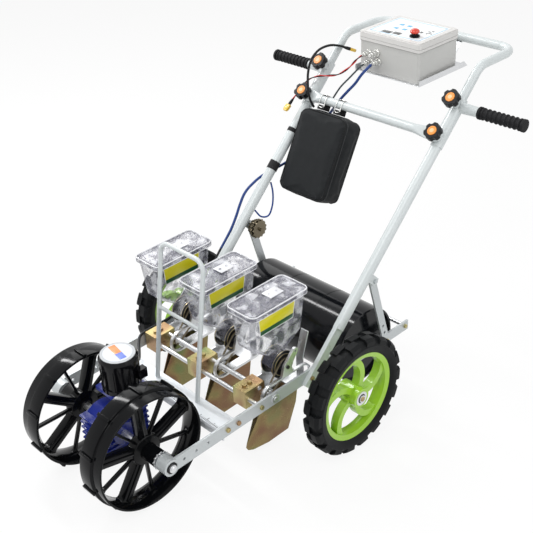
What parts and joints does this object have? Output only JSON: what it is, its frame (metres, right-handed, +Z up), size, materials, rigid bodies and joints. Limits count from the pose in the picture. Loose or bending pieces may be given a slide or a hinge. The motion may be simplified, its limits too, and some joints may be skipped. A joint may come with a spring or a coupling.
{
  "type": "electric row seeder",
  "caption": "Walk-behind electric row seeder: pitched rail frame on driven front wheels and lugged rear wheels, clear seed hoppers over openers, press roller and telescopic handle.",
  "frame": {"origin": "on the ground, below the middle of the machine's length and width", "axes": "+X across the machine to the picture's near side, +Y to the handle, +Z up"},
  "size_m": [0.872, 1.4282, 0.9533],
  "materials": {
    "galvanised": "dull zinc plate",
    "white_paint": "satin grey-white",
    "bright_steel": "bright zinc",
    "yellow_zinc": "yellow passivated",
    "clear_plastic": "clear",
    "black_plastic": "gloss black",
    "dark_steel": "oiled dark steel",
    "black_rubber": "matt rubber",
    "black_metal": "gloss black paint",
    "blue_metal": "satin blue paint",
    "black_fabric": "woven nylon",
    "tyre_rubber": "moulded rubber",
    "green_plastic": "gloss lime",
    "grey_plastic": "fine grain",
    "red_plastic": "gloss red",
    "cable": "satin sheath",
    "yellow_plastic": "gloss yellow"
  },
  "bodies": {
    "chassis": {"rail_left": "galvanised", "rail_right": "galvanised", "rear_arms": "galvanised", "cross_plate": "bright_steel", "guard_hoop": "white_paint", "tool_bars": "bright_steel", "frame_bolts": "yellow_zinc", "shaft_bearings": "bright_steel", "rear_axles": "bright_steel", "roller_axle": "bright_steel", "handle_left": "white_paint", "handle_right": "white_paint", "cross_tube": "white_paint", "braces": "galvanised", "grips": "black_rubber", "motor": "black_metal", "gearbox": "blue_metal", "battery_bag": "black_fabric", "bag_straps": "black_fabric", "spare_sprockets": "dark_steel", "unit_blocks": "yellow_zinc", "unit_frame_1": "bright_steel", "unit_frame_2": "bright_steel", "unit_frame_3": "bright_steel", "opener_1": "yellow_zinc", "opener_2": "yellow_zinc", "opener_3": "yellow_zinc", "hopper_1": "clear_plastic", "hopper_2": "clear_plastic", "hopper_3": "clear_plastic", "seed_chains": "yellow_zinc", "battery_lead": "cable", "power_lead": "cable", "control_leads": "cable", "lead_plugs": "yellow_plastic"},
    "front_axle_set": {"front_axle": "bright_steel", "front_wheel_left": "black_plastic", "front_wheel_right": "black_plastic"},
    "rear_wheel_left": {"rear_tyre_left": "tyre_rubber", "rear_rim_left": "green_plastic"},
    "rear_wheel_right": {"rear_tyre_right": "tyre_rubber", "rear_rim_right": "green_plastic"},
    "press_roller": {"press_roller": "black_plastic"},
    "seed_shaft": {"seed_shaft": "bright_steel"},
    "seed_roller_1": {"seed_roller_1": "black_plastic"},
    "seed_roller_2": {"seed_roller_2": "black_plastic"},
    "seed_roller_3": {"seed_roller_3": "black_plastic"},
    "hopper_lid_1": {"hopper_lid_1": "clear_plastic"},
    "hopper_lid_2": {"hopper_lid_2": "clear_plastic"},
    "hopper_lid_3": {"hopper_lid_3": "clear_plastic"},
    "knob_low_left": {"knob_low_left": "black_plastic"},
    "knob_low_right": {"knob_low_right": "black_plastic"},
    "knob_high_left": {"knob_high_left": "black_plastic"},
    "knob_high_right": {"knob_high_right": "black_plastic"},
    "upper_handle": {"upper_handle": "white_paint", "box_tray": "bright_steel", "control_box": "grey_plastic", "box_lid": "grey_plastic", "connectors": "bright_steel"},
    "stop_button": {"stop_button": "red_plastic"}
  },
  "joints": [
    {"name": "front_axle_spin", "type": "hinge", "parent": "chassis", "child": "front_axle_set", "pos_m": [0, -0.55342, 0.162], "axis": [1, 0, 0], "continuous": true},
    {"name": "rear_wheel_left_spin", "type": "hinge", "parent": "chassis", "child": "rear_wheel_left", "pos_m": [-0.333, -0.03956, 0.165], "axis": [1, 0, 0], "continuous": true},
    {"name": "rear_wheel_right_spin", "type": "hinge", "parent": "chassis", "child": "rear_wheel_right", "pos_m": [0.333, -0.03956, 0.165], "axis": [1, 0, 0], "continuous": true},
    {"name": "press_roller_spin", "type": "hinge", "parent": "chassis", "child": "press_roller", "pos_m": [0, 0.16125, 0.15888], "axis": [1, 0, 0], "continuous": true},
    {"name": "seed_shaft_spin", "type": "hinge", "parent": "chassis", "child": "seed_shaft", "pos_m": [0, -0.21413, 0.18383], "axis": [1, 0, 0], "continuous": true},
    {"name": "seed_roller_1_spin", "type": "hinge", "parent": "chassis", "child": "seed_roller_1", "pos_m": [-0.176, -0.15691, 0.24463], "axis": [1, 0, 0], "continuous": true},
    {"name": "seed_roller_2_spin", "type": "hinge", "parent": "chassis", "child": "seed_roller_2", "pos_m": [0, -0.15691, 0.24463], "axis": [1, 0, 0], "continuous": true},
    {"name": "seed_roller_3_spin", "type": "hinge", "parent": "chassis", "child": "seed_roller_3", "pos_m": [0.176, -0.15691, 0.24463], "axis": [1, 0, 0], "continuous": true},
    {"name": "hopper_lid_1_lift", "type": "slide", "parent": "chassis", "child": "hopper_lid_1", "axis": [0, -0.0642, 0.9979], "range_m": [0, 0.06]},
    {"name": "hopper_lid_2_lift", "type": "slide", "parent": "chassis", "child": "hopper_lid_2", "axis": [0, -0.0642, 0.9979], "range_m": [0, 0.06]},
    {"name": "hopper_lid_3_lift", "type": "slide", "parent": "chassis", "child": "hopper_lid_3", "axis": [0, -0.0642, 0.9979], "range_m": [0, 0.06]},
    {"name": "knob_low_left_turn", "type": "hinge", "parent": "chassis", "child": "knob_low_left", "pos_m": [-0.232, 0.38707, 0.71154], "axis": [0, -0.7418, 0.6707], "continuous": true},
    {"name": "knob_low_right_turn", "type": "hinge", "parent": "chassis", "child": "knob_low_right", "pos_m": [0.232, 0.38707, 0.71154], "axis": [0, -0.7418, 0.6707], "continuous": true},
    {"name": "knob_high_left_turn", "type": "hinge", "parent": "chassis", "child": "knob_high_left", "pos_m": [-0.232, 0.45414, 0.78571], "axis": [0, -0.7418, 0.6707], "continuous": true},
    {"name": "knob_high_right_turn", "type": "hinge", "parent": "chassis", "child": "knob_high_right", "pos_m": [0.232, 0.45414, 0.78571], "axis": [0, -0.7418, 0.6707], "continuous": true},
    {"name": "upper_handle_slide", "type": "slide", "parent": "chassis", "child": "upper_handle", "axis": [0, 0.6707, 0.7418], "range_m": [0, 0.1]},
    {"name": "stop_button_press", "type": "slide", "parent": "upper_handle", "child": "stop_button", "axis": [0, -0.0642, 0.9979], "range_m": [-0.005, 0], "stiffness_N_per_m": 400}
  ],
  "couplings": [
    {"joint": "seed_roller_1_spin", "follows": "seed_shaft_spin", "ratio": 0.57143},
    {"joint": "seed_roller_2_spin", "follows": "seed_shaft_spin", "ratio": 0.57143},
    {"joint": "seed_roller_3_spin", "follows": "seed_shaft_spin", "ratio": 0.57143}
  ]
}
